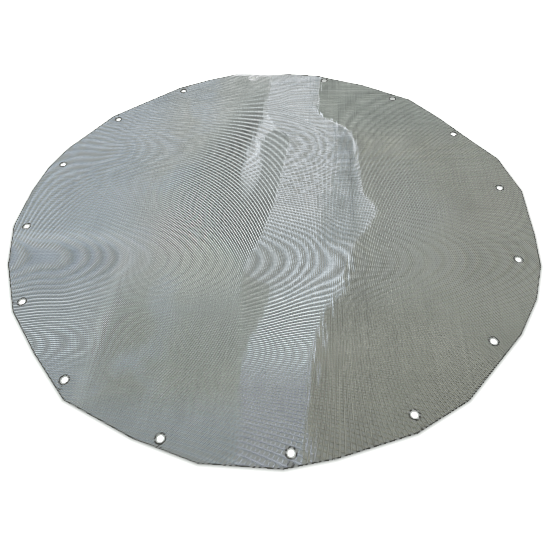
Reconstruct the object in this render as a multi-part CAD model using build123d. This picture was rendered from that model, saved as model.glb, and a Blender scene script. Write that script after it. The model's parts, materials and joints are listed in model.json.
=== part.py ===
from build123d import *
from math import cos, exp, radians, sin, sqrt
import os

# Row of bolt holes, mm
hole_circle = 860.0
hole_count = 16
hole_d = 12.0

# Woven wire cloth: square mesh, 24 wires to the inch
mesh_pitch = 25.4 / 24
wire_d = 0.40
cloth_t = 2 * wire_d
opening = mesh_pitch - wire_d
weave_turn = -8.2            # the cloth lies turned from the row of holes, degrees

# One ridge of the wall stands for a band of four wires
wires_per_ridge = 4
ridge_pitch = wires_per_ridge * mesh_pitch
ridge_count = 223            # across the cloth before it is cut round
relief = 0.25                # from the crown of a ridge down to the groove beside it

# A gap of one mesh opening runs along every second groove
grooves_per_gap = 2
solid_rim = 26.0             # unbroken cloth inside the hole circle
gap_field = 0.97             # share of the round inside the rim that the rows of gaps reach

# Soft folds left from the roll, as place across the cloth, height and width.
# They rise between bolt holes, so that the row of holes lies flat.
folds = [
    (-301.0, 2.6, 31.0), (-164.0, 3.0, 40.0), (-2.0, 2.1, 38.0), (162.0, 1.3, 42.0), (302.0, 1.0, 32.0),
]

# Cut line: corners left by the snips, as angle in degrees and distance from the centre
corners = [
    (-132.0, 448.5), (-117.0, 442.0), (-105.0, 447.5), (-91.5, 448.5), (-83.0, 445.6),
    (-69.0, 450.9), (-58.0, 454.4), (-40.5, 456.9), (-31.5, 461.8), (-23.0, 463.8),
    (-15.0, 459.8), (-1.5, 466.1), (10.0, 463.0), (18.0, 447.0), (30.0, 443.0),
    (41.0, 449.6), (56.0, 442.0), (65.0, 439.6), (70.0, 444.8), (79.5, 443.5),
    (82.0, 439.2), (87.5, 440.8), (94.5, 453.6), (104.0, 447.4), (113.0, 445.4),
    (124.5, 438.6), (135.0, 447.6), (140.0, 444.2), (151.5, 450.8), (159.0, 453.3),
    (168.0, 451.6), (179.5, 453.8), (191.0, 448.2), (204.0, 445.9), (216.0, 440.5),
]

# Working solids reach well clear of the sheet
reach = 480.0
cutter_h = 40.0


def rise(x):
    """Height of the underside of the cloth above the floor, at x across the folds."""
    return sum(height * exp(-(((x - place) / width) ** 2)) for place, height, width in folds)


def ridge_line(crown_z, groove_z):
    """Zigzag straight across the cloth, from groove to crown to groove."""
    points = []
    for step in range(2 * ridge_count + 1):
        x = (step - ridge_count) * ridge_pitch / 2
        is_crown = step % 2 == 1
        points.append((x, rise(x) + (crown_z if is_crown else groove_z)))
    return points


def folded_cloth():
    """Uncut cloth with its folds, ridged alike above and below, turned as the weave lies."""
    top = ridge_line(cloth_t, cloth_t - relief)
    underside = ridge_line(0.0, relief)
    section = Plane.XZ * make_face(Polyline(*top, *reversed(underside), close=True))
    return Rot(0, 0, weave_turn) * extrude(section, reach, both=True)


def cut_sheet():
    """Prism with the hand-cut outline of the sheet."""
    points = [(r * cos(radians(angle)), r * sin(radians(angle))) for angle, r in corners]
    outline = make_face(Polyline(*points, close=True))
    return extrude(outline, cutter_h, both=True)


def bolt_holes():
    """Punched holes, evenly spaced, the first one on the X axis."""
    hole = Pos(hole_circle / 2, 0, 0) * Cylinder(hole_d / 2, cutter_h)
    return [Rot(0, 0, i * 360 / hole_count) * hole for i in range(hole_count)]


def mesh_gaps():
    """Long gaps in the grooves between the ridges, each as far as the unbroken rim."""
    inner_r = hole_circle / 2 - solid_rim
    gap_pitch = grooves_per_gap * ridge_pitch
    gaps_each_side = int(gap_field * inner_r / gap_pitch)
    gaps = []
    for i in range(-gaps_each_side, gaps_each_side + 1):
        x = i * gap_pitch + ridge_pitch / 2
        length = 2 * sqrt(inner_r**2 - x**2)
        gaps.append(Rot(0, 0, weave_turn) * Pos(x, 0, 0) * Box(opening, length, cutter_h))
    return gaps


def mesh_screen():
    """Round sheet of wire cloth in one piece, with its row of holes and the gaps between its ridges."""
    sheet = folded_cloth() & cut_sheet()
    return sheet - bolt_holes() - mesh_gaps()


os.makedirs("parts", exist_ok=True)
export_step(mesh_screen(), "parts/mesh_screen.step")
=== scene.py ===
import bpy
import json
import numpy as np
from math import cos, pi, radians, sin
from mathutils import Euler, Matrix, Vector


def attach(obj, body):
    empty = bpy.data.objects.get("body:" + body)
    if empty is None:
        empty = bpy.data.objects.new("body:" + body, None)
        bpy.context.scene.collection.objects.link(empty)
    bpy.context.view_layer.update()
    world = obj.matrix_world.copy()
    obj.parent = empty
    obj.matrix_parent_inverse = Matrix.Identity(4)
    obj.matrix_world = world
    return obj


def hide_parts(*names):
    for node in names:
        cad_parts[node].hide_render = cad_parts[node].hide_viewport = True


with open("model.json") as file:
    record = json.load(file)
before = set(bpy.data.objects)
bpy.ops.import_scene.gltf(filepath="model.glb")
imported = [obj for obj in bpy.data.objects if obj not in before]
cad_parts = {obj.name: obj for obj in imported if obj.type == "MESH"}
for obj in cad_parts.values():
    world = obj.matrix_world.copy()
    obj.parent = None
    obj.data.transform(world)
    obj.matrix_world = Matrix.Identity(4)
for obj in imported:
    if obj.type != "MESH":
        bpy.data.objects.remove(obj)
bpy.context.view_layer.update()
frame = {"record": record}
scene = bpy.context.scene
random = np.random.default_rng(24)

boltRing = next(m for m in frame["record"]["mounts"] if m["name"] == "bolt_ring")["dims"]
ringRadius = boltRing["pcd_mm"] / 2000
holeRadius = boltRing["hole_r_mm"] / 1000
holeCount = boltRing["count"]

# Woven wire cloth, 24 wires to the inch. Its own axes are u, along the weft, and v, along the warp
cloth = {
    "pitch": 0.0254 / 24,
    "wire": 0.0004,
    "turn": radians(-8.2),       # from the row of holes to the weave
    "sides": 4,                  # of each wire's section
    "count": 455,                # wires laid on each side of the centre, before the cut
    "reach": 0.478,              # half a wire's length before the cut
    "gridSteps": 957,            # places along a wire where the cut is looked for
    "warpStep": 0.015,           # from one ring of a wire to the next
    "weftStep": 0.010,
    "trim": 0.0008,              # from a cut end to the ring before it
    "fray": 0.00012,             # how uneven the cut ends are
    "holeRings": (-0.0075, -0.004, 0, 0.004, 0.0075),    # more rings across a bolt hole's place
    "holeReach": 0.012,          # how far from a hole's rim a wire still gets them
    "creaseRings": (-0.004, 0.004),      # more rings beside a crease, on the weft
    "ringGap": 0.001,            # least way from such a ring to a cut end
    "weftFade": 0.008,           # width of the change from warp on top to weft on top
    "leftOf": (-0.23, 0.04),     # the weft is on top left of here too: place, width of the change
    "nearOf": (-0.09, 0.06),     # and nearer than here
    "toneSpread": 0.07,          # how unevenly bright the wires are
    "warpPieces": 3,             # pieces that the wires are shared out to
    "weftPieces": 4,
    "loose": 0.13,               # how far the weft strays wire by wire, in pitches
    "looseMost": 0.3,            # and how far at most
    "looseAlong": (0.02, 0.23, 0.06),      # where it does so: from, to, width of the change
    "looseAcross": (-0.005, 0.155, 0.03),
    # slow wander of the wires off their even spacing, in pitches: powers of u and v over the ring
    # radius, and how much of each
    "warpWander": [
        (0, 1, 0.8), (0, 2, 3.6), (0, 3, -2.4), (1, 0, -1.2), (1, 1, -14.1), (1, 2, -11.1),
        (2, 0, -3.5), (2, 1, -2.0), (3, 0, -1.8),
    ],
    "weftWander": [
        (0, 1, 5.4), (0, 2, -5.5), (0, 3, -5.0), (1, 0, 5.0), (1, 1, 2.4), (1, 2, -7.2),
        (2, 0, -1.4), (2, 1, -6.4), (3, 0, -0.5),
    ],
    "wanderRounds": 4,           # rounds in which a wire's place is worked out from its wander
}

# Cut line of the sheet
cut = {
    "zone": (0.445, 0.04),       # every cut lies within this ring: its middle, half its width
    "deep": 0.03,                # depth given to cloth inside that ring
    # corners left by the snips, as angle in degrees and distance from the centre
    "corners": [
        (-132.0, 0.4485), (-117.0, 0.4420), (-105.0, 0.4475), (-91.5, 0.4485), (-83.0, 0.4456),
        (-69.0, 0.4509), (-58.0, 0.4544), (-40.5, 0.4569), (-31.5, 0.4618), (-23.0, 0.4638),
        (-15.0, 0.4598), (-1.5, 0.4661), (10.0, 0.4630), (18.0, 0.4470), (30.0, 0.4430),
        (41.0, 0.4496), (56.0, 0.4420), (65.0, 0.4396), (70.0, 0.4448), (79.5, 0.4435),
        (82.0, 0.4392), (87.5, 0.4408), (94.5, 0.4536), (104.0, 0.4474), (113.0, 0.4454),
        (124.5, 0.4386), (135.0, 0.4476), (140.0, 0.4442), (151.5, 0.4508), (159.0, 0.4533),
        (168.0, 0.4516), (179.5, 0.4538), (191.0, 0.4482), (204.0, 0.4459), (216.0, 0.4405),
    ],
}

# Lines of the creases across the cloth, each as v and u
creases = {
    "right": [
        (-0.44, 0.078), (-0.344, 0.082), (-0.25, 0.097), (-0.16, 0.132), (-0.091, 0.152),
        (-0.026, 0.188), (0.0, 0.196), (0.049, 0.175), (0.105, 0.172), (0.223, 0.162),
        (0.275, 0.105), (0.30, 0.090), (0.378, 0.097), (0.44, 0.10),
    ],
    "left": [
        (-0.44, -0.001), (-0.361, -0.015), (-0.255, -0.021), (-0.164, -0.026), (-0.067, -0.003),
        (0.018, 0.015), (0.115, 0.026), (0.193, 0.034), (0.24, 0.0), (0.298, -0.027), (0.44, -0.015),
    ],
}

# Height of the sheet over the floor
folds = {
    "floorGap": 0.0001,
    # steps in height: crease (or none for the middle), distance from it, width, height
    "steps": [
        ("left", -0.008, 0.014, -0.0004),
        ("right", -0.068, 0.018, -0.0015),
        ("right", -0.022, 0.012, 0.0008),
        (None, -0.060, 0.025, -0.0014),
    ],
    "leftRise": 0.0017,          # left of the steps it lies this much higher
    "soft": [(-0.164, 0.0006, 0.042), (-0.301, 0.0006, 0.036), (0.302, 0.0005, 0.034)],
    "flatRim": 0.010,            # width of the unfolded rim inside the row of holes
    "rimFade": 0.06,
    "belly": 0.0019,             # the sheet bellies up inside its rim
    "bellyReach": 0.490,
}


def smoothStep(x):
    x = np.clip(x, 0, 1)
    return x * x * (3 - 2 * x)


def fade(past, width):
    # from 0 to 1 across a line, over this width
    return smoothStep(past / width + 0.5)


def creaseAt(name, v):
    points = np.array(creases[name])
    return np.interp(v, points[:, 0], points[:, 1])


def clothRise(u, v):
    # height of the cloth's underside above the floor
    radius = np.hypot(u, v)
    inner = smoothStep((ringRadius - folds["flatRim"] - radius) / folds["rimFade"])
    rise = folds["leftRise"] + 0 * u
    for name, off, width, height in folds["steps"]:
        side = u - off - (creaseAt(name, v) if name else 0)
        rise = rise + height * 0.5 * (1 + np.tanh(side / width))
    for place, height, width in folds["soft"]:
        rise = rise + height * np.exp(-(((u - place) / width) ** 2))
    rise = rise * inner + folds["belly"] * (1 - (radius / folds["bellyReach"]) ** 2)
    return folds["floorGap"] + np.maximum(rise, 0)


def weftOnTop(u, v):
    # 1 where the weft lies over the warp, 0 where the warp lies over the weft
    width = cloth["weftFade"]
    inBand = fade(u - creaseAt("left", v), width) * fade(creaseAt("right", v) - u, width)
    left, leftWidth = cloth["leftOf"]
    near, nearWidth = cloth["nearOf"]
    return np.maximum(inBand, fade(left - u, leftWidth) * fade(near - v, nearWidth))


def turned(points, angle):
    c, s = cos(angle), sin(angle)
    flat = points[:, :2] @ np.array([[c, s], [-s, c]])
    return np.column_stack([flat, points[:, 2:]])


def cutOutline():
    angles = np.radians([a for a, r in cut["corners"]])
    radii = np.array([r for a, r in cut["corners"]])
    points = np.column_stack([radii * np.cos(angles), radii * np.sin(angles)])
    return turned(points, -cloth["turn"])


def holeCentres():
    angles = np.arange(holeCount) * 2 * pi / holeCount - cloth["turn"]
    return ringRadius * np.column_stack([np.cos(angles), np.sin(angles)])


outline = cutOutline()
holes = holeCentres()


def fromHoles(u, v):
    # distance from each point to the rim of the nearest bolt hole, below zero in the hole
    nearest = np.full(len(u), 1.0)
    for hole in holes:
        nearest = np.minimum(nearest, np.hypot(u - hole[0], v - hole[1]) - holeRadius)
    return nearest


def depthInCloth(u, v):
    # distance from each point to the nearest cut, below zero where there's no cloth
    radius = np.hypot(u, v)
    depth = np.where(radius < ringRadius, cut["deep"], -cut["deep"])
    middle, halfWidth = cut["zone"]
    byEdge = np.abs(radius - middle) < halfWidth
    p = np.column_stack([u[byEdge], v[byEdge]])
    nearest = np.full(len(p), 1.0)
    inside = np.zeros(len(p), bool)
    for a, b in zip(outline, np.roll(outline, -1, 0)):
        way = b - a
        part = np.clip(((p - a) @ way) / (way @ way), 0, 1)
        gap = p - a - part[:, None] * way
        nearest = np.minimum(nearest, np.hypot(gap[:, 0], gap[:, 1]))
        passes = (a[1] > p[:, 1]) != (b[1] > p[:, 1])
        inside ^= passes & (p[:, 0] < a[0] + (p[:, 1] - a[1]) / way[1] * way[0])
    depth[byEdge] = np.minimum(np.where(inside, nearest, -nearest), fromHoles(p[:, 0], p[:, 1]))
    return depth


def wander(family, u, v):
    a, b = u / ringRadius, v / ringRadius
    return sum(k * a**i * b**j for i, j, k in cloth[family])


wireCount = 2 * cloth["count"] + 1
strays = random.normal(0, cloth["loose"], wireCount)
strays = strays.clip(-cloth["looseMost"], cloth["looseMost"])


def looseness(u, v):
    # 1 where the weft strays, in the far part of the bright band, and 0 elsewhere
    def within(place, start, end, width):
        return fade(place - start, width) * fade(end - place, width)

    return within(v, *cloth["looseAlong"]) * within(u, *cloth["looseAcross"])


def onWire(across, number, along):
    # place of a numbered wire at each place along it
    at = number * cloth["pitch"] + 0 * along
    if across:
        stray = strays[(number + cloth["count"]).astype(int)]
        at = at + cloth["pitch"] * stray * looseness(along, at)
    place = at
    for _ in range(cloth["wanderRounds"]):
        u, v = (place, along) if across == 0 else (along, place)
        place = at - cloth["pitch"] * wander("weftWander" if across else "warpWander", u, v)
    return (place, along) if across == 0 else (along, place)


def wireRuns(across, step):
    # where each wire runs in the sheet: its number and its rings' places along it
    numbers = np.arange(-cloth["count"], cloth["count"] + 1)
    grid = np.linspace(-cloth["reach"], cloth["reach"], cloth["gridSteps"])
    depth = depthInCloth(*onWire(across, numbers[:, None], grid[None, :] + 0 * numbers[:, None]))
    covered = depth > 0
    starts = np.nonzero(~covered[:, :-1] & covered[:, 1:])
    ends = np.nonzero(covered[:, :-1] & ~covered[:, 1:])

    def cutAt(i, j):
        share = depth[i, j] / (depth[i, j] - depth[i, j + 1])
        return grid[j] + share * (grid[1] - grid[0])

    runs = []
    holeRings = np.array(cloth["holeRings"])
    holeReach = holeRadius + cloth["holeReach"]
    creaseRings = np.array(cloth["creaseRings"])
    for wire, start, end in zip(starts[0], cutAt(*starts), cutAt(*ends)):
        start = start + random.normal(0, cloth["fray"])
        end = end + random.normal(0, cloth["fray"])
        if end - start < 4 * cloth["trim"]:
            continue
        rings = [np.linspace(start, end, int((end - start) / step) + 2)]
        rings.append([start + cloth["trim"], end - cloth["trim"]])
        at = numbers[wire] * cloth["pitch"]
        extra = [hole[1 - across] + holeRings for hole in holes if abs(hole[across] - at) < holeReach]
        if across:
            extra += [creaseAt(name, at) + creaseRings for name in creases]
        for near in extra:
            rings.append(near[(near > start + cloth["ringGap"]) & (near < end - cloth["ringGap"])])
        runs.append((numbers[wire], np.sort(np.concatenate(rings))))
    return runs


def tubeFaces(lengths, flip):
    # sides and end caps of a row of tubes, from the number of rings in each
    sides = cloth["sides"]
    firstRings = np.cumsum(lengths) - lengths
    lastRings = firstRings + lengths - 1
    spans = np.setdiff1d(np.arange(lengths.sum()), lastRings)
    k = np.arange(sides)
    low, high = spans[:, None] * sides + k, spans[:, None] * sides + (k + 1) % sides
    caps = np.concatenate([firstRings[:, None] * sides + k[::-1], lastRings[:, None] * sides + k])
    if flip:
        low, high, caps = high, low, caps[:, ::-1]
    quads = np.stack([low, high, high + sides, low + sides], 2).reshape(-1, 4)
    return quads, caps


def wireMarks(across, numbers, u, v, top):
    # what the finish and its painted light need to know: distance to the cut and to a hole, count of
    # crossings, how bright each wire is, and whether it lies on top here
    crossing = numbers + (v if across == 0 else u) / cloth["pitch"] + across
    crossing = crossing + wander("warpWander" if across else "weftWander", u, v)
    wireTone = 1 + random.normal(0, cloth["toneSpread"], wireCount)
    return {
        "toCut": depthInCloth(u, v).clip(0),
        "toHole": fromHoles(u, v).clip(0),
        "crossing": crossing,
        "wireTone": wireTone[(numbers + cloth["count"]).astype(int)],
        "onTop": top,
    }


def wireMesh(name, runs, across):
    # one closed tube for each run of wire
    sides = cloth["sides"]
    radius = cloth["wire"] / 2
    angles = np.arange(sides) * 2 * pi / sides + pi / 2
    ring = np.zeros((sides, 3))
    ring[:, across] = np.cos(angles) * radius
    ring[:, 2] = np.sin(angles) * radius
    lengths = np.array([len(rings) for number, rings in runs])
    numbers = np.repeat([number for number, rings in runs], lengths).astype(float)
    u, v = onWire(across, numbers, np.concatenate([rings for number, rings in runs]))
    top = weftOnTop(u, v) if across else 1 - weftOnTop(u, v)
    centres = np.column_stack([u, v, clothRise(u, v) + cloth["wire"] * (0.5 + top)])
    corners = (centres[:, None] + ring).reshape(-1, 3)
    quads, caps = tubeFaces(lengths, across == 0)
    loops = np.concatenate([quads.ravel(), caps.ravel()]).astype(np.int32)
    totals = np.repeat([4, sides], [len(quads), len(caps)]).astype(np.int32)

    mesh = bpy.data.meshes.new(name)
    mesh.vertices.add(len(corners))
    mesh.vertices.foreach_set("co", turned(corners, cloth["turn"]).astype(np.float32).ravel())
    mesh.loops.add(len(loops))
    mesh.loops.foreach_set("vertex_index", loops)
    mesh.polygons.add(len(totals))
    mesh.polygons.foreach_set("loop_start", (np.cumsum(totals) - totals).astype(np.int32))
    mesh.polygons.foreach_set("loop_total", totals)
    mesh.polygons.foreach_set("use_smooth", np.arange(len(totals)) < len(quads))
    mesh.update(calc_edges=True)
    for mark, values in wireMarks(across, numbers, u, v, top).items():
        layer = mesh.attributes.new(mark, "FLOAT", "POINT")
        layer.data.foreach_set("value", np.repeat(values, sides).astype(np.float32))
    plan = corners[:, :2]
    plan = (plan - plan.min(0)) / np.ptp(plan, axis=0).max()
    mesh.uv_layers.new(name="OFBake").uv.foreach_set("vector", plan[loops].astype(np.float32).ravel())

    piece = bpy.data.objects.new(name, mesh)
    scene.collection.objects.link(piece)
    print(name, "runs", len(runs), "triangles", 2 * len(quads) + (sides - 2) * len(caps))
    return piece


def inParts(runs, count):
    # neighbouring wires in groups of about equal length
    rings = np.cumsum([len(rings) for number, rings in runs])
    group = np.minimum(rings * count // (rings[-1] + 1), count - 1)
    return [[run for run, g in zip(runs, group) if g == k] for k in range(count)]


warpRuns = wireRuns(0, cloth["warpStep"])
weftRuns = wireRuns(1, cloth["weftStep"])
warpPieces = [
    wireMesh(f"warp_wires_{k + 1}", runs, 0)
    for k, runs in enumerate(inParts(warpRuns, cloth["warpPieces"]))
]
weftPieces = [
    wireMesh(f"weft_wires_{k + 1}", runs, 1)
    for k, runs in enumerate(inParts(weftRuns, cloth["weftPieces"]))
]
print("wires laid")

# Finish of the drawn wire, with its painted light: colours of the parts of the sheet, whose differences are
# painted sheen and shade
finishAndPaintedLight = {
    # the parts differ by painted light: lighter and bluer on the left and at its edge, darker and warmer on
    # the right, and a painted sheen on the band, brightest at its far end
    "left": (0.44, 0.465, 0.455, 1),
    "edge": (0.415, 0.465, 0.52, 1),
    "nearEdge": (0.345, 0.39, 0.44, 1),
    "near": (0.34, 0.365, 0.335, 1),
    "right": (0.315, 0.323, 0.290, 1),
    "nearRight": (0.283, 0.286, 0.248, 1),
    "farRight": (0.285, 0.305, 0.285, 1),
    "band": (0.60, 0.665, 0.71, 1),
    "farBand": (0.85, 0.92, 0.99, 1),
    "nearBand": (0.385, 0.41, 0.45, 1),
    # painted highlight on the crowns of the wires and painted shade on their flanks
    "crownHighlightColour": (0.92, 0.99, 0.99, 1),
    "flankShadeColour": (0.08, 0.085, 0.09, 1),
    # painted shade on the wires along the cut and round the bolt holes
    "rimShadeColour": (0.09, 0.09, 0.08, 1),
    # painted highlight along the far edge
    "lipHighlightColour": (0.95, 0.96, 0.97, 1),
    # where each of these is full and where it ends, as distance from the cut or the hole
    "rim": (0.00088, 0.0022),
    "holeRim": (0.0014, 0.0028),
    "lipHighlight": (0.0048, 0.008),
    "roughness": 0.38,
    "bandRoughness": 0.30,
    "roughGrain": (0.3, 0.7, -0.04, 0.04),
    "bumpStrength": 0.1,
    "bumpDepth": 0.00005,
    "crown": (-0.2, 0.2),        # how upright a wire's side is where its painted highlight begins and is full
    "flank": (0.1, 1.0),         # and where flankLift starts to give way and crownLift is full
    "underLift": 1.35,           # how much brighter the lower wires are drawn, as they lie in shade
    "flankLift": 2.3,            # the same for the sides of a wire
    # how much darker a wire's crown is drawn: painted shade against the light that falls on it
    "crownLift": 0.75,
    "warpLoss": 0.55,            # how much darker the warp is drawn where the weft has its painted highlight: painted shade
    "weftLoss": 0.78,
    "knuckle": 0.08,             # painted highlight on a wire where it comes up over another, and painted shade where it goes under
    # lighter and darker lines along the warp: place across, from and to along, width, brightness added
    "warpLines": [
        (-0.017, 0.27, 0.38, 0.0012, 0.35),
        (0.070, 0.25, 0.43, 0.0010, 0.40),
        (0.074, 0.25, 0.43, 0.0010, -0.35),
        (0.156, -0.04, 0.16, 0.0012, -0.35),
        (0.151, -0.02, 0.14, 0.0010, -0.25),
        (0.162, -0.29, -0.20, 0.003, 0.12),
    ],
    "lineFade": 0.02,         # length over which a line comes in, on each side of its end
    "lineCore": 0.3,          # share of its width that is marked in full
}

# Lines that bound the parts with painted sheen, painted highlights and painted shade, each as v and u
bounds = {
    "bandLeft": [
        (-0.44, -0.004), (-0.368, -0.009), (-0.318, -0.013), (-0.279, -0.007), (-0.254, 0.003),
        (-0.218, 0.014), (-0.181, 0.020), (-0.16, -0.010), (-0.14, -0.027), (-0.10, -0.018),
        (-0.067, -0.003), (0.018, 0.015), (0.115, 0.026), (0.193, 0.034), (0.24, 0.0),
        (0.298, -0.021), (0.44, -0.013),
    ],
    "bandRight": [
        (-0.44, 0.078), (-0.344, 0.082), (-0.25, 0.097), (-0.16, 0.132), (-0.095, 0.148),
        (-0.075, 0.100), (0.03, 0.100), (0.05, 0.124), (0.16, 0.133), (0.223, 0.138),
        (0.275, 0.105), (0.30, 0.086), (0.378, 0.085), (0.44, 0.088),
    ],
    "branchLeft": [
        (-0.06, -0.04), (0.0, -0.045), (0.114, -0.054), (0.193, -0.040), (0.24, -0.030),
        (0.298, -0.021), (0.44, -0.013),
    ],
    "branchRight": [
        (-0.06, -0.04), (0.03, -0.027), (0.115, -0.017), (0.175, -0.018), (0.216, -0.010),
        (0.25, 0.03), (0.44, 0.03),
    ],
    "hatchLeft": [
        (-0.3, -0.22), (-0.2, -0.225), (-0.10, -0.235), (-0.03, -0.24), (0.03, -0.24), (0.2, -0.17),
        (0.36, -0.12),
    ],
    "hatchRight": [(-0.44, -0.02)] + creases["left"][3:],
}

# How soft each line is, and how ragged
softness = {
    "crease": (0.003, 0.004),
    "bandLeft": (0.005, 0.003),
    "bandRight": (0.006, 0.014),
    "branchLeft": (0.008, 0.005),
    "branchRight": (0.008, 0.005),
    "hatchRight": (0.004, 0.0),
}

# Strength of the painted highlights along the sheet, each as v and strength
levels = {
    "hatch": [
        (-0.45, 0.0), (-0.28, 0.0), (-0.215, 0.25), (-0.18, 0.40), (-0.12, 0.62), (-0.05, 1.0),
        (0.22, 1.0), (0.28, 0.85), (0.34, 0.5), (0.42, 0.0),
    ],
    "fan": [(-0.22, 0.0), (-0.10, 0.8), (0.05, 1.0), (0.15, 0.6), (0.21, 0.0)],
    "band": [
        (-0.45, 0.0), (-0.345, 0.0), (-0.317, 0.25), (-0.285, 0.7), (-0.24, 1.0), (-0.20, 0.6),
        (-0.17, 0.22), (-0.135, 0.0), (-0.08, 0.0), (0.0, 0.0), (0.45, 0.0),
    ],
    "edge": [
        (-0.37, 0.0), (-0.32, 0.25), (-0.285, 0.8), (-0.235, 0.7), (-0.195, 0.25), (-0.155, 0.0),
        (-0.10, 0.0), (-0.05, 0.16), (0.10, 0.14), (0.18, 0.0),
    ],
}

# Noises over the sheet: scale, detail, stretch
noises = {
    "clouds": (9.0, 3.0, (1, 1, 1)),
    "patches": (30.0, 3.0, (1.6, 0.6, 1)),
    "streaks": (60.0, 2.0, (8, 0.15, 1)),
    "feather": (40.0, 3.0, (5, 0.5, 1)),
    "grain": (900.0, 2.0, (1, 1, 1)),
}

# Ramps that the parts of the finish are laid out with: start, end, value before, value after.
# They go by u, v, the distance right of a line, or a noise
ramps = {
    "feather": (0.3, 0.7, -1.0, 1.0),
    "bandToCrease": (-0.009, -0.003, 1.0, 0.0),
    "outerPatches": (0.3, 0.7, 0.3, 0.75),
    "lightPatches": (0.25, 0.65, 0.82, 1.0),
    "branchAlong": (-0.02, 0.12, 0.0, 1.0),
    "tongueAlong": (-0.02, 0.08, 0.0, 0.36),
    "dimFrom": (-0.20, -0.17, 0.0, 1.0),
    "dimTo": (-0.11, -0.08, 1.0, 0.0),
    "dimAcross": (0.02, 0.06, 1.0, 0.0),
    "hatchAcross": (0.0, 0.11, 0.0, 1.0),
    "fanAcross": (0.07, 0.18, 0.33, 0.0),
    "farRightWarp": (0.02, 0.15, 0.0, 0.06),
    "nearRightWarp": (-0.40, -0.26, 0.05, 0.0),
    "bandWarp": (-0.17, -0.08, 0.0, 0.28),
    "bandWarpFar": (-0.06, 0.06, 0.0, 0.30),
    "leftWarpAcross": (-0.21, -0.12, 1.0, 0.0),
    "leftWarpFrom": (-0.19, -0.15, 0.0, 0.16),
    "leftWarpTo": (-0.06, 0.02, 1.0, 0.0),
    "bandWeftAcross": (0.05, 0.13, 1.0, 0.7),
    "edgeWeftAcross": (-0.31, -0.17, 1.0, 0.25),
    "lipFrom": (-0.125, -0.10, 0.0, 1.0),
    "lipTo": (-0.03, 0.05, 1.0, 0.0),
    "lipAlong": (0.38, 0.40, 0.0, 1.0),
    "leftFar": (-0.30, -0.05, 0.0, 1.0),
    "edgeAcross": (-0.30, -0.17, 1.0, 0.0),
    "edgeFar": (-0.36, -0.27, 0.0, 1.0),
    "blueAcross": (-0.16, -0.10, 0.7, 0.0),
    "blueClouds": (0.45, 0.6, 0.0, 1.0),
    "blueNear": (-0.40, -0.34, 0.6, 0.0),
    "rightMiddle": (-0.38, -0.18, 0.0, 1.0),
    "rightFar": (0.16, 0.28, 0.0, 1.0),
    "bandMiddle": (-0.36, -0.25, 0.0, 1.0),
    "bandFar": (-0.08, 0.03, 0.0, 1.0),
    "streakShade": (0.25, 0.75, 0.92, 1.08),
    "cloudShade": (0.3, 0.7, 0.94, 1.06),
    "farLeftShade": (0.15, 0.5, 1.0, 1.04),
    "farDim": (0.28, 0.36, 0.0, 0.12),
    "dullFrom": (0.085, 0.115, 0.0, 1.0),
    "dullTo": (0.155, 0.172, 1.0, 0.0),
    "dullNear": (-0.10, -0.05, 0.0, 1.0),
    "dullFar": (0.01, 0.05, 1.0, 0.0),
    "dullPatches": (0.25, 0.6, 0.5, 1.1),
    "farLightAlong": (-0.10, 0.04, 0.0, 1.0),
    "farLightAcross": (0.11, 0.14, 1.0, 0.0),
    "footAcross": (0.05, 0.09, 0.13, 0.0),
    "footFrom": (-0.28, -0.22, 0.0, 1.0),
    "footTo": (-0.13, -0.08, 1.0, 0.0),
}

# Shares by which one part of the painted light takes from another, or adds to it
amounts = {
    "dimLight": 0.5,
    "dimWeft": 0.6,
    "besideTongue": 0.4,
    "branchOverHatch": 0.85,
    "dull": 0.16,
    "farLight": 0.18,
}


def addNode(tree, kind, **settings):
    node = tree.nodes.new(kind)
    for name, value in settings.items():
        setattr(node, name, value)
    return node


def mathNode(tree, operation, *values):
    node = addNode(tree, "ShaderNodeMath", operation=operation)
    for socket, value in zip(node.inputs, values):
        if isinstance(value, (int, float)):
            socket.default_value = value
        else:
            tree.links.new(value, socket)
    return node.outputs[0]


def product(tree, first, *others):
    for value in others:
        first = mathNode(tree, "MULTIPLY", first, value)
    return first


def most(tree, first, *others):
    for value in others:
        first = mathNode(tree, "MAXIMUM", first, value)
    return first


def inverse(tree, value):
    return mathNode(tree, "SUBTRACT", 1.0, value)


def rangeNode(tree, value, low, high, toLow=0.0, toHigh=1.0):
    node = addNode(tree, "ShaderNodeMapRange", interpolation_type="SMOOTHSTEP")
    tree.links.new(value, node.inputs["Value"])
    for name, number in zip(("From Min", "From Max", "To Min", "To Max"), (low, high, toLow, toHigh)):
        node.inputs[name].default_value = number
    return node.outputs[0]


def mixColours(tree, share, a, b, blend="MIX"):
    node = addNode(tree, "ShaderNodeMix", data_type="RGBA", blend_type=blend)
    for socket, value in zip((node.inputs[0], node.inputs[6], node.inputs[7]), (share, a, b)):
        if isinstance(value, (float, tuple)):
            socket.default_value = value
        else:
            tree.links.new(value, socket)
    return node.outputs[2]


def curveAlong(tree, along, points):
    # a value for each place along the cloth, within half a metre of its middle
    node = addNode(tree, "ShaderNodeFloatCurve")
    curve = node.mapping.curves[0]
    while len(curve.points) < len(points):
        curve.points.new(0.5, 0.5)
    for point, (place, value) in zip(curve.points, sorted(points)):
        point.location = (place + 0.5, value)
        point.handle_type = "AUTO_CLAMPED"
    node.mapping.update()
    tree.links.new(mathNode(tree, "ADD", along, 0.5), node.inputs["Value"])
    return node.outputs[0]


def lineAcross(tree, along, points):
    # a line drawn on the cloth: its place across for each place along, both within half a metre
    raised = [(v, u + 0.5) for v, u in points]
    return mathNode(tree, "SUBTRACT", curveAlong(tree, along, raised), 0.5)


def noiseOf(tree, vector, scale, detail, stretch):
    place = addNode(tree, "ShaderNodeMapping")
    place.inputs["Scale"].default_value = stretch
    tree.links.new(vector, place.inputs["Vector"])
    node = addNode(tree, "ShaderNodeTexNoise")
    node.inputs["Scale"].default_value = scale
    node.inputs["Detail"].default_value = detail
    tree.links.new(place.outputs[0], node.inputs["Vector"])
    return node.outputs["Fac"]


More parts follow.
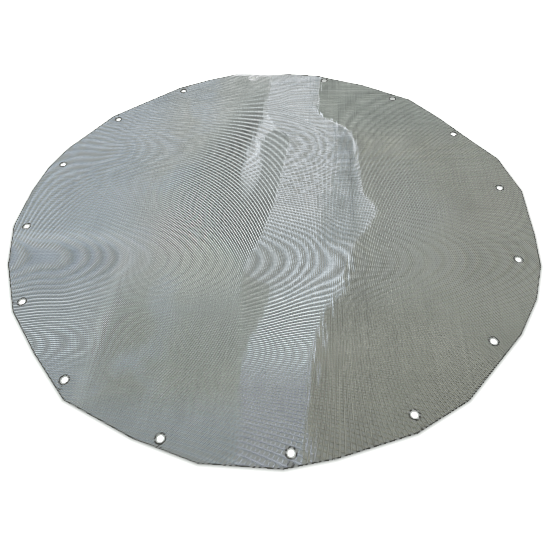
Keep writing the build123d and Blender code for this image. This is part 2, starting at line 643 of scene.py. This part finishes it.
def clothZones():
    # colour of the cloth with its painted light, and where its warp or its weft gets a painted highlight,
    # for a place on the sheet
    tree = bpy.data.node_groups.new("cloth zones", "ShaderNodeTree")
    tree.interface.new_socket("Vector", in_out="INPUT", socket_type="NodeSocketVector")
    tree.interface.new_socket("Colour", in_out="OUTPUT", socket_type="NodeSocketColor")
    for name in ("Warp Painted Highlight", "Weft Painted Highlight", "Band", "Grain", "Lip Highlight"):
        tree.interface.new_socket(name, in_out="OUTPUT", socket_type="NodeSocketFloat")
    lie = addNode(tree, "ShaderNodeMapping")
    lie.inputs["Rotation"].default_value = (0, 0, -cloth["turn"])
    tree.links.new(addNode(tree, "NodeGroupInput").outputs["Vector"], lie.inputs["Vector"])
    own = lie.outputs[0]
    parts = addNode(tree, "ShaderNodeSeparateXYZ")
    tree.links.new(own, parts.inputs[0])
    u, v = parts.outputs[0], parts.outputs[1]
    noise = {name: noiseOf(tree, own, *settings) for name, settings in noises.items()}

    def ramp(name, value):
        return rangeNode(tree, value, *ramps[name])

    def less(value, *shares):
        return inverse(tree, product(tree, value, *shares))

    def level(name):
        return curveAlong(tree, v, levels[name])

    def fromLine(points, ragged=0.0):
        # distance to the right of a line
        side = mathNode(tree, "SUBTRACT", u, lineAcross(tree, v, points))
        return mathNode(tree, "MULTIPLY_ADD", ramp("feather", noise["feather"]), ragged, side)

    def pastLine(name):
        soft, ragged = softness[name]
        return rangeNode(tree, fromLine(bounds[name], ragged), -soft, soft)

    # the painted sheen band, with a duller part at its right and a branch at its left
    soft, ragged = softness["crease"]
    fromRight = fromLine(creases["right"], ragged)
    rightOf = rangeNode(tree, fromRight, -soft, soft)
    pastBand, pastMain = pastLine("bandLeft"), pastLine("bandRight")
    pastBranch, pastBranchRight = pastLine("branchLeft"), pastLine("branchRight")
    inBand = product(tree, pastBand, ramp("bandToCrease", fromRight))
    main = product(tree, pastBand, less(pastMain))
    outer = product(tree, pastMain, less(rightOf), ramp("outerPatches", noise["patches"]))
    branch = product(tree, pastBranch, less(pastBranchRight), ramp("branchAlong", v))
    tongue = product(tree, pastBranchRight, ramp("tongueAlong", v))
    light = product(tree, most(tree, main, outer, branch), ramp("lightPatches", noise["patches"]))
    # painted shade that takes from the band's sheen
    dim = product(tree, ramp("dimFrom", v), ramp("dimTo", v), ramp("dimAcross", u))
    light = product(tree, light, less(dim, amounts["dimLight"]))
    beside = product(tree, tongue, less(pastBand), pastBranch, amounts["besideTongue"])
    light = most(tree, light, beside)

    # painted warp highlight: the hatched zone left of the band, a faint fan right of it, and a little
    # elsewhere
    hatch = product(tree, ramp("hatchAcross", fromLine(bounds["hatchLeft"])), less(pastLine("hatchRight")))
    overHatch = most(tree, product(tree, branch, amounts["branchOverHatch"]), tongue)
    hatch = product(tree, hatch, level("hatch"), less(overHatch))
    fan = product(tree, rightOf, ramp("fanAcross", fromRight), level("fan"))
    farRight = product(tree, rightOf, ramp("farRightWarp", v))
    nearRight = product(tree, rightOf, ramp("nearRightWarp", v))
    warpBand = mathNode(tree, "ADD", ramp("bandWarp", v), ramp("bandWarpFar", v))
    warpBand = product(tree, inBand, warpBand)
    atLeft = product(tree, ramp("leftWarpAcross", u), ramp("leftWarpFrom", v), ramp("leftWarpTo", v))
    warpHighlight = most(tree, hatch, warpBand, fan, farRight, nearRight, atLeft)

    # painted weft highlight: the near part of the band, and the left edge of the sheet
    weftBand = product(tree, inBand, level("band"), ramp("bandWeftAcross", u), less(dim, amounts["dimWeft"]))
    weftEdge = product(tree, ramp("edgeWeftAcross", u), less(pastBand), level("edge"))
    weftHighlight = most(tree, weftBand, weftEdge)

    # painted highlight along the far edge
    lipHighlight = product(tree, ramp("lipFrom", u), ramp("lipTo", u), ramp("lipAlong", v))

    # colours of the left side with its bluer edge, the right side and the band, whose differences are
    # painted light and shade, with a painted sheen on the band
    body = mixColours(tree, ramp("leftFar", v), finishAndPaintedLight["near"], finishAndPaintedLight["left"])
    edge = mixColours(tree, ramp("edgeFar", v), finishAndPaintedLight["nearEdge"], finishAndPaintedLight["edge"])
    bluer = product(tree, ramp("blueAcross", u), ramp("blueClouds", noise["clouds"]))
    bluer = most(tree, ramp("edgeAcross", u), bluer, ramp("blueNear", v))
    body = mixColours(tree, bluer, body, edge)
    right = mixColours(tree, ramp("rightMiddle", v), finishAndPaintedLight["nearRight"], finishAndPaintedLight["right"])
    right = mixColours(tree, ramp("rightFar", v), right, finishAndPaintedLight["farRight"])
    body = mixColours(tree, rightOf, body, right)
    band = mixColours(tree, ramp("bandMiddle", v), finishAndPaintedLight["nearBand"], finishAndPaintedLight["band"])
    band = mixColours(tree, ramp("bandFar", v), band, finishAndPaintedLight["farBand"])
    body = mixColours(tree, light, body, band)

    # streaks and clouds of tone, and areas drawn lighter or darker than their colour: painted sheen at the
    # far end of the band, and painted shade on a patch of the band and at the foot of the right crease
    shade = product(tree, ramp("streakShade", noise["streaks"]), ramp("cloudShade", noise["clouds"]))
    shade = product(tree, shade, ramp("farLeftShade", mathNode(tree, "SUBTRACT", v, u)))
    shade = product(tree, shade, less(product(tree, less(pastBand), ramp("farDim", v))))
    dull = product(tree, ramp("dullFrom", u), ramp("dullTo", u), ramp("dullNear", v), ramp("dullFar", v))
    dull = product(tree, dull, ramp("dullPatches", noise["patches"]))
    farLight = product(tree, inBand, ramp("farLightAlong", v), ramp("farLightAcross", u))
    farLight = mathNode(tree, "MULTIPLY_ADD", farLight, amounts["farLight"], 1.0)
    foot = product(tree, rightOf, ramp("footAcross", fromRight), ramp("footFrom", v), ramp("footTo", v))
    shade = product(tree, shade, less(dull, amounts["dull"]), farLight, less(foot))
    fadeLength = finishAndPaintedLight["lineFade"]
    for across, start, end, width, gain in finishAndPaintedLight["warpLines"]:
        away = mathNode(tree, "ABSOLUTE", mathNode(tree, "SUBTRACT", u, across))
        line = rangeNode(tree, away, width * finishAndPaintedLight["lineCore"], width, 1.0, 0.0)
        begun = rangeNode(tree, v, start - fadeLength, start + fadeLength)
        open = rangeNode(tree, v, end - fadeLength, end + fadeLength, 1.0, 0.0)
        shade = mathNode(tree, "ADD", shade, product(tree, line, begun, open, gain))

    results = {
        "Colour": mixColours(tree, 1.0, body, shade, "MULTIPLY"),
        "Warp Painted Highlight": warpHighlight,
        "Weft Painted Highlight": weftHighlight,
        "Band": light,
        "Grain": noise["grain"],
        "Lip Highlight": lipHighlight,
    }
    groupEnd = addNode(tree, "NodeGroupOutput")
    for name, value in results.items():
        tree.links.new(value, groupEnd.inputs[name])
    return tree


def drawnWire(name, own, other, loss, zones):
    material = bpy.data.materials.new(name)
    material.use_nodes = True
    tree = material.node_tree
    shader = tree.nodes["Principled BSDF"]
    zone = addNode(tree, "ShaderNodeGroup", node_tree=zones)
    tree.links.new(addNode(tree, "ShaderNodeTexCoord").outputs["Object"], zone.inputs["Vector"])

    def mark(attribute):
        return addNode(tree, "ShaderNodeAttribute", attribute_name=attribute).outputs["Fac"]

    def within(distance, span):
        return rangeNode(tree, distance, *span, 1.0, 0.0)

    normal = addNode(tree, "ShaderNodeSeparateXYZ")
    tree.links.new(addNode(tree, "ShaderNodeNewGeometry").outputs["Normal"], normal.inputs[0])
    upright = normal.outputs[2]
    # painted light and shade against the real shading: the flanks and the lower wires drawn lighter, the
    # crowns darker
    sides = rangeNode(tree, upright, *finishAndPaintedLight["flank"], finishAndPaintedLight["flankLift"], finishAndPaintedLight["crownLift"])
    under = rangeNode(tree, mark("onTop"), 0.0, 1.0, finishAndPaintedLight["underLift"], 1.0)
    plain = mixColours(tree, 1.0, zone.outputs["Colour"], product(tree, sides, under), "MULTIPLY")
    # painted highlight on each wire's crown and painted shade on its flanks, where its family has its
    # painted highlight
    atCrown = rangeNode(tree, upright, *finishAndPaintedLight["crown"])
    paintedHighlight = mixColours(tree, atCrown, finishAndPaintedLight["flankShadeColour"], finishAndPaintedLight["crownHighlightColour"])
    colour = mixColours(tree, zone.outputs[own + " Painted Highlight"], plain, paintedHighlight)
    # painted shade on this family where the other has its painted highlight
    otherHighlightShade = mathNode(tree, "MULTIPLY_ADD", zone.outputs[other + " Painted Highlight"], -loss, 1.0)
    # painted highlight on each knuckle and painted shade where the wire goes under another
    knuckles = mathNode(tree, "COSINE", mathNode(tree, "MULTIPLY", mark("crossing"), pi))
    knuckles = mathNode(tree, "MULTIPLY_ADD", knuckles, finishAndPaintedLight["knuckle"], 1.0)
    tone = product(tree, otherHighlightShade, knuckles, mark("wireTone"))
    colour = mixColours(tree, 1.0, colour, tone, "MULTIPLY")
    colour.node.clamp_result = True
    # painted shade along the cut and round the bolt holes
    nearCut = most(tree, within(mark("toCut"), finishAndPaintedLight["rim"]), within(mark("toHole"), finishAndPaintedLight["holeRim"]))
    # painted highlight along the far edge
    onLipHighlight = product(tree, zone.outputs["Lip Highlight"], within(mark("toCut"), finishAndPaintedLight["lipHighlight"]))
    colour = mixColours(tree, nearCut, colour, finishAndPaintedLight["rimShadeColour"])
    colour = mixColours(tree, onLipHighlight, colour, finishAndPaintedLight["lipHighlightColour"])
    tree.links.new(colour, shader.inputs["Base Color"])
    rough = rangeNode(tree, zone.outputs["Band"], 0.0, 1.0, finishAndPaintedLight["roughness"], finishAndPaintedLight["bandRoughness"])
    rough = mathNode(tree, "ADD", rough, rangeNode(tree, zone.outputs["Grain"], *finishAndPaintedLight["roughGrain"]))
    tree.links.new(rough, shader.inputs["Roughness"])
    shader.inputs["Metallic"].default_value = 1.0
    bump = addNode(tree, "ShaderNodeBump")
    bump.inputs["Strength"].default_value = finishAndPaintedLight["bumpStrength"]
    bump.inputs["Distance"].default_value = finishAndPaintedLight["bumpDepth"]
    tree.links.new(zone.outputs["Grain"], bump.inputs["Height"])
    tree.links.new(bump.outputs[0], shader.inputs["Normal"])
    return material


zones = clothZones()
warpSteel = drawnWire("warp steel", "Warp", "Weft", finishAndPaintedLight["warpLoss"], zones)
weftSteel = drawnWire("weft steel", "Weft", "Warp", finishAndPaintedLight["weftLoss"], zones)
for pieces, material in ((warpPieces, warpSteel), (weftPieces, weftSteel)):
    for piece in pieces:
        piece.data.materials.append(material)
        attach(piece, "root")
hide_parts("mesh_screen")
print("finish on")

# Studio
studio = {
    # grey, so that the floor seen through the sheet is darker, as painted shade under the sheet; the glow
    # whitens the open floor
    "floorColour": (0.50, 0.52, 0.50, 1),
    "floorRoughness": 0.9,
    "floorReach": 6.0,
    # rings of the floor: size against the sheet's outline, and 1 where it is open floor
    "floorRings": [(0.0, 0.0), (1.001, 0.0), (1.012, 1.0), (2.0, 1.0)],
    "openGlow": 0.70,            # makes the open floor white in the camera's view
    "holeGlow": (0.62, 0.80),    # where that glow is full and where it ends below a hole, in its radii
    "unlit": (0.6, 1.7),         # angles between which the holes have none, in radians
    "unlitFade": 0.01,
    "world": 0.95,
    "cameraPlace": (-0.01496, -0.57921, 0.58016),
    "cameraTurn": (36.2337, 1.7203, -4.7560),
    "lens": 29.252,
    "sensor": 36.0,
    "clipStart": 0.01,
    "lamps": [                   # name, place, width, length, watts
        ("softbox", (0.0, 0.9, 2.1), 2.4, 1.8, 16),
    ],
}


def underHoles(tree):
    # the floor below the bolt holes, from one hole repeated round the ring
    place = addNode(tree, "ShaderNodeTexCoord").outputs["Object"]
    parts = addNode(tree, "ShaderNodeSeparateXYZ")
    tree.links.new(place, parts.inputs[0])
    angle = mathNode(tree, "ARCTAN2", parts.outputs[1], parts.outputs[0])
    step = 2 * pi / holeCount
    nearest = mathNode(tree, "ROUND", mathNode(tree, "DIVIDE", angle, step))
    off = mathNode(tree, "COSINE", mathNode(tree, "SUBTRACT", angle, product(tree, nearest, step)))
    length = addNode(tree, "ShaderNodeVectorMath", operation="LENGTH")
    tree.links.new(place, length.inputs[0])
    radius = length.outputs["Value"]
    square = mathNode(tree, "MULTIPLY_ADD", radius, radius, ringRadius**2)
    square = mathNode(tree, "SUBTRACT", square, product(tree, radius, off, 2 * ringRadius))
    away = mathNode(tree, "SQRT", mathNode(tree, "MAXIMUM", square, 0.0))
    start, end = studio["unlit"]
    past = rangeNode(tree, angle, start, start + studio["unlitFade"])
    before = rangeNode(tree, angle, end, end + studio["unlitFade"], 1.0, 0.0)
    full, none = (holeRadius * share for share in studio["holeGlow"])
    under = rangeNode(tree, away, full, none, 1.0, 0.0)
    return product(tree, under, inverse(tree, product(tree, past, before)))


def makeFloor():
    # rings of floor round the outline of the sheet, marked open outside it
    world = turned(np.column_stack([outline, 0 * outline[:, :1]]), cloth["turn"])
    points = [world * share for share, isOpen in studio["floorRings"]]
    points.append(world / np.hypot(world[:, 0], world[:, 1])[:, None] * studio["floorReach"])
    count = len(world)
    opens = np.repeat([isOpen for share, isOpen in studio["floorRings"]] + [1.0], count)
    faces = []
    for ring in range(len(points) - 1):
        for k in range(count):
            a, b = ring * count + k, ring * count + (k + 1) % count
            faces.append((b, a, a + count, b + count) if ring else (a, a + count, b + count))
    mesh = bpy.data.meshes.new("floor")
    mesh.from_pydata(np.concatenate(points).tolist(), [], faces)
    layer = mesh.attributes.new("open", "FLOAT", "POINT")
    layer.data.foreach_set("value", opens.astype(np.float32))
    floor = bpy.data.objects.new("floor", mesh)
    scene.collection.objects.link(floor)
    material = bpy.data.materials.new("grey floor with painted shade")
    material.use_nodes = True
    tree = material.node_tree
    shader = tree.nodes["Principled BSDF"]
    shader.inputs["Base Color"].default_value = studio["floorColour"]
    shader.inputs["Roughness"].default_value = studio["floorRoughness"]
    shader.inputs["Emission Color"].default_value = (1, 1, 1, 1)
    openFloor = addNode(tree, "ShaderNodeAttribute", attribute_name="open").outputs["Fac"]
    path = addNode(tree, "ShaderNodeLightPath").outputs
    seen = most(tree, path["Is Camera Ray"], path["Is Glossy Ray"])
    glow = product(tree, most(tree, openFloor, underHoles(tree)), seen, studio["openGlow"])
    tree.links.new(glow, shader.inputs["Emission Strength"])
    floor.data.materials.append(material)


def makeWorld():
    world = bpy.data.worlds.new("studio")
    scene.world = world
    world.use_nodes = True
    tree = world.node_tree
    shader = tree.nodes["Background"]
    shader.inputs["Color"].default_value = (1, 1, 1, 1)
    seen = addNode(tree, "ShaderNodeLightPath").outputs["Is Camera Ray"]
    strength = rangeNode(tree, seen, 0, 1, studio["world"], 1.0)
    tree.links.new(strength, shader.inputs["Strength"])


def makeLamps():
    for name, place, width, length, watts in studio["lamps"]:
        light = bpy.data.lights.new(name, "AREA")
        light.shape = "RECTANGLE"
        light.size, light.size_y = width, length
        light.energy = watts
        lamp = bpy.data.objects.new(name, light)
        lamp.location = place
        lamp.rotation_euler = (-Vector(place)).to_track_quat("-Z", "Y").to_euler()
        scene.collection.objects.link(lamp)


def makeCamera():
    camera = bpy.data.objects.new("camera", bpy.data.cameras.new("camera"))
    camera.location = studio["cameraPlace"]
    camera.rotation_euler = Euler([radians(a) for a in studio["cameraTurn"]])
    camera.data.lens = studio["lens"]
    camera.data.sensor_width = studio["sensor"]
    camera.data.clip_start = studio["clipStart"]
    scene.collection.objects.link(camera)
    scene.camera = camera


makeFloor()
makeWorld()
makeLamps()
makeCamera()
scene.view_settings.view_transform = "Standard"
scene.cycles.filter_width = 0.25     # a crisp lens: the weave beats with the pixels, as in the photo
print("studio set")
